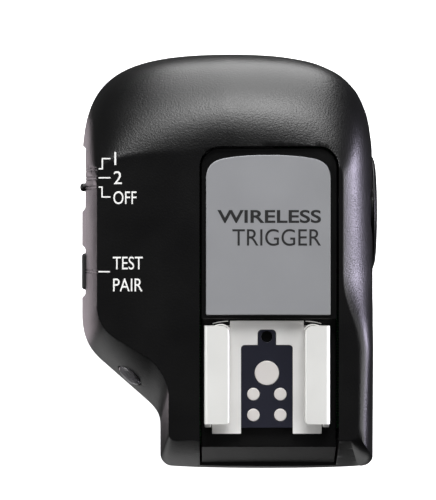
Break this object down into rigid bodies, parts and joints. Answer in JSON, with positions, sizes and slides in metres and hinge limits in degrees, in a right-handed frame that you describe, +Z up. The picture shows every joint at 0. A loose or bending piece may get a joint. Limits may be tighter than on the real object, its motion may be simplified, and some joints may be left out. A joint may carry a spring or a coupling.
{
  "type": "wireless flash trigger",
  "caption": "Palm-sized radio flash trigger: rounded black case with a hot shoe on top, a locking foot below, side controls and a round coin-slot battery door.",
  "frame": {"origin": "middle of the bounding box in plan, at the foot contact pins' tips", "axes": "+Z up out of the hot shoe, +Y towards the nose, +X towards the battery door"},
  "size_m": [0.0507, 0.071, 0.033],
  "materials": {
    "black_abs": "fine moulded grain",
    "black_rubber": "smooth",
    "label": "satin silver",
    "steel": "matt stainless",
    "gold": "gold plated",
    "block": "smooth nylon",
    "clear": "clear",
    "board": "solder mask",
    "chip": "moulded epoxy",
    "tin": "tinned",
    "zinc": "black zinc",
    "flex": "polyimide film"
  },
  "bodies": {
    "root": {"top_case": "black_abs", "bottom_case": "black_abs", "shoe_carrier": "black_abs", "label_plate": "label", "shoe_frame": "steel", "shoe_spring_plate": "steel", "centre_contact": "steel", "data_contact_1": "steel", "data_contact_2": "steel", "data_contact_3": "steel", "data_contact_4": "steel", "foot_plate": "steel", "battery_spring": "steel", "coin_cell": "steel", "contact_block": "block", "foot_block": "block", "battery_cup": "block", "status_lens": "clear", "status_led": "clear", "main_board": "board", "processor": "chip", "power_inductor": "chip", "radio_shield": "tin", "usb_socket": "tin", "slide_switch": "tin", "tact_switch": "tin", "antenna": "tin", "case_screw_1": "zinc", "case_screw_2": "zinc", "case_screw_3": "zinc", "case_screw_4": "zinc", "shoe_screw_1": "zinc", "shoe_screw_2": "zinc", "shoe_screw_3": "zinc", "shoe_screw_4": "zinc", "contact_flex": "flex"},
    "switch_knob": {"power_switch_knob": "black_abs"},
    "button": {"test_button": "black_rubber"},
    "battery_cap": {"battery_door": "black_abs"},
    "lever": {"lock_lever": "black_abs"},
    "lock": {"lock_pin": "steel"},
    "usb_flap": {"usb_cover": "black_rubber"},
    "centre_pin": {"foot_centre_pin": "gold"},
    "data_pin_1": {"foot_data_pin_1": "gold"},
    "data_pin_2": {"foot_data_pin_2": "gold"},
    "data_pin_3": {"foot_data_pin_3": "gold"},
    "data_pin_4": {"foot_data_pin_4": "gold"}
  },
  "joints": [
    {"name": "power_switch_slide", "type": "slide", "parent": "root", "child": "switch_knob", "axis": [0, 1, 0], "range_m": [0, 0.0031]},
    {"name": "test_button_press", "type": "slide", "parent": "root", "child": "button", "axis": [1, 0, 0], "range_m": [0, 0.0005], "stiffness_N_per_m": 400},
    {"name": "battery_door_turn", "type": "hinge", "parent": "root", "child": "battery_cap", "pos_m": [0.0235, 0.0083, 0.0174], "axis": [1, 0, 0], "range_deg": [0, 40]},
    {"name": "lock_lever_turn", "type": "hinge", "parent": "root", "child": "lever", "pos_m": [0.0064, -0.0187, 0.0052], "axis": [0, 0, -1], "range_deg": [0, 60]},
    {"name": "lock_pin_drop", "type": "slide", "parent": "root", "child": "lock", "axis": [0, 0, -1], "range_m": [0, 0.0013]},
    {"name": "usb_cover_hinge", "type": "hinge", "parent": "root", "child": "usb_flap", "pos_m": [0.0064, -0.0349, 0.0094], "axis": [1, 0, 0], "range_deg": [0, 90]},
    {"name": "centre_pin_spring", "type": "slide", "parent": "root", "child": "centre_pin", "axis": [0, 0, 1], "range_m": [0, 0.0005], "stiffness_N_per_m": 300},
    {"name": "data_pin_1_spring", "type": "slide", "parent": "root", "child": "data_pin_1", "axis": [0, 0, 1], "range_m": [0, 0.0005], "stiffness_N_per_m": 100},
    {"name": "data_pin_2_spring", "type": "slide", "parent": "root", "child": "data_pin_2", "axis": [0, 0, 1], "range_m": [0, 0.0005], "stiffness_N_per_m": 100},
    {"name": "data_pin_3_spring", "type": "slide", "parent": "root", "child": "data_pin_3", "axis": [0, 0, 1], "range_m": [0, 0.0005], "stiffness_N_per_m": 100},
    {"name": "data_pin_4_spring", "type": "slide", "parent": "root", "child": "data_pin_4", "axis": [0, 0, 1], "range_m": [0, 0.0005], "stiffness_N_per_m": 100}
  ],
  "couplings": [
    {"joint": "lock_pin_drop", "follows": "lock_lever_turn", "m_per_rad": 0.00114}
  ]
}
